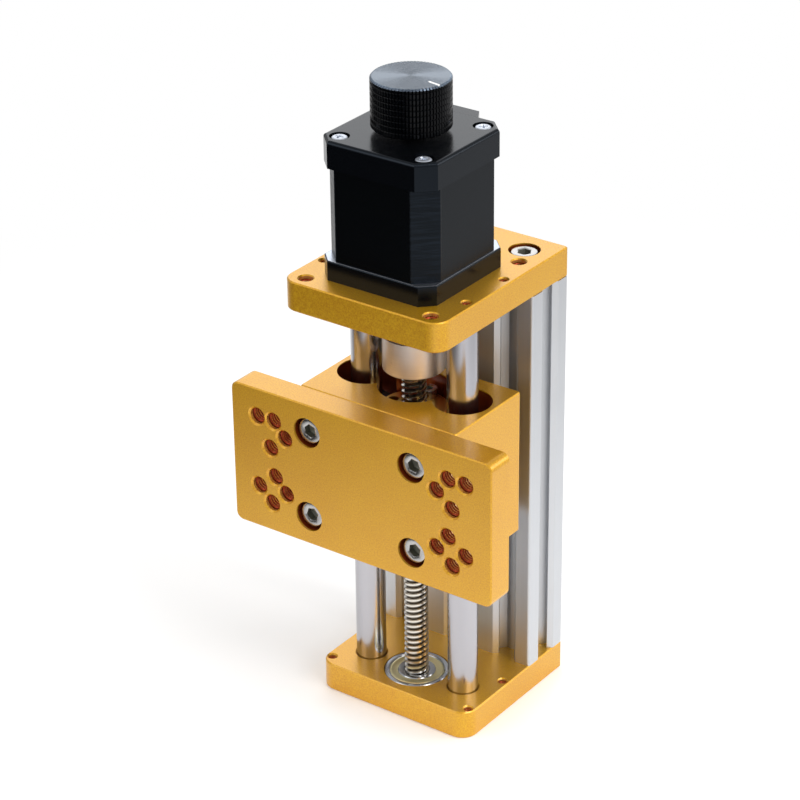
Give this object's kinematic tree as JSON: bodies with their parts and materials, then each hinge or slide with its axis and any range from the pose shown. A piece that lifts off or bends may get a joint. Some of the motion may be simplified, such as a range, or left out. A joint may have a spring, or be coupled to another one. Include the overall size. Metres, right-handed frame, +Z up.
{
  "type": "motorised z-axis slide module",
  "caption": "Vertical screw-driven slide with end plates, guide rods, slotted back rail, tool plate, stepper motor and hand knob.",
  "frame": {"origin": "on the lead screw's axis, at the underside of the base plate", "axes": "+Z up along the lead screw, -Y out of the tool plate's face, +X to the right of someone who faces it"},
  "size_m": [0.1, 0.072, 0.2193],
  "materials": {
    "gold_anodised": "bead-blasted gold anodised aluminium with bright beveled edges",
    "silver_anodised": "satin silver anodised extrusion",
    "turned_aluminium": "fine turned aluminium",
    "chromed_rod": "hard chromed and ground",
    "lead_screw_steel": "rolled stainless steel",
    "screw_steel": "stainless steel",
    "bearing_steel": "ground bearing steel",
    "tinted_shield": "pressed steel with a warm tint",
    "nut_brass": "machined brass",
    "cage_resin": "moulded resin",
    "seal_rubber": "moulded rubber",
    "motor_black": "smooth black paint on die-cast metal",
    "stator_black": "black painted laminations",
    "coil_copper": "enamelled copper wire",
    "rotor_steel": "ground silicon steel",
    "magnet": "sintered magnet",
    "shaft_steel": "ground steel",
    "header_plastic": "moulded plastic",
    "pin_plating": "plated contact",
    "knob_black": "black anodised aluminium, spun top, knurled side"
  },
  "bodies": {
    "frame": {"base_plate": "gold_anodised", "top_plate": "gold_anodised", "back_rail": "silver_anodised", "guide_rod_left": "chromed_rod", "guide_rod_right": "chromed_rod", "rail_screws_base": "screw_steel", "rail_screws_top": "screw_steel", "base_bearing_outer": "bearing_steel", "base_bearing_shields": "tinted_shield", "motor_front_bell": "motor_black", "motor_stator": "stator_black", "stator_coils": "coil_copper", "motor_rear_bell": "motor_black", "motor_case_screws": "screw_steel", "motor_mount_screws": "screw_steel", "motor_connector": "header_plastic", "connector_pins": "pin_plating", "motor_bearing_outers": "bearing_steel", "preload_washer": "bearing_steel"},
    "carriage": {"carriage_block": "gold_anodised", "tool_plate": "gold_anodised", "tool_plate_screws": "screw_steel", "linear_bearing_left": "bearing_steel", "linear_bearing_right": "bearing_steel", "linear_bearing_cages": "cage_resin", "linear_bearing_balls": "bearing_steel", "linear_bearing_seals": "seal_rubber", "lead_nut": "nut_brass", "lead_nut_screws": "screw_steel"},
    "screw": {"lead_screw": "lead_screw_steel", "base_bearing_inner": "bearing_steel", "coupling": "turned_aluminium", "coupling_screws": "screw_steel", "motor_bearing_inners": "bearing_steel", "motor_shaft": "shaft_steel", "rotor_cups": "rotor_steel", "rotor_magnet": "magnet", "hand_knob": "knob_black", "knob_set_screw": "screw_steel"},
    "ball_train": {"base_bearing_balls": "bearing_steel", "base_bearing_cage": "bearing_steel", "motor_bearing_balls": "bearing_steel"}
  },
  "joints": [
    {"name": "screw_turn", "type": "hinge", "parent": "frame", "child": "screw", "pos_m": [0, 0, 0], "axis": [0, 0, 1], "range_deg": [-812, 4862]},
    {"name": "carriage_slide", "type": "slide", "parent": "frame", "child": "carriage", "axis": [0, 0, 1], "range_m": [-0.054, 0.009]},
    {"name": "ball_roll", "type": "hinge", "parent": "frame", "child": "ball_train", "pos_m": [0, 0, 0], "axis": [0, 0, 1], "range_deg": [-300, 1790]}
  ],
  "couplings": [
    {"joint": "screw_turn", "follows": "carriage_slide", "rad_per_m": -1570.8},
    {"joint": "ball_roll", "follows": "carriage_slide", "rad_per_m": -578.05}
  ]
}
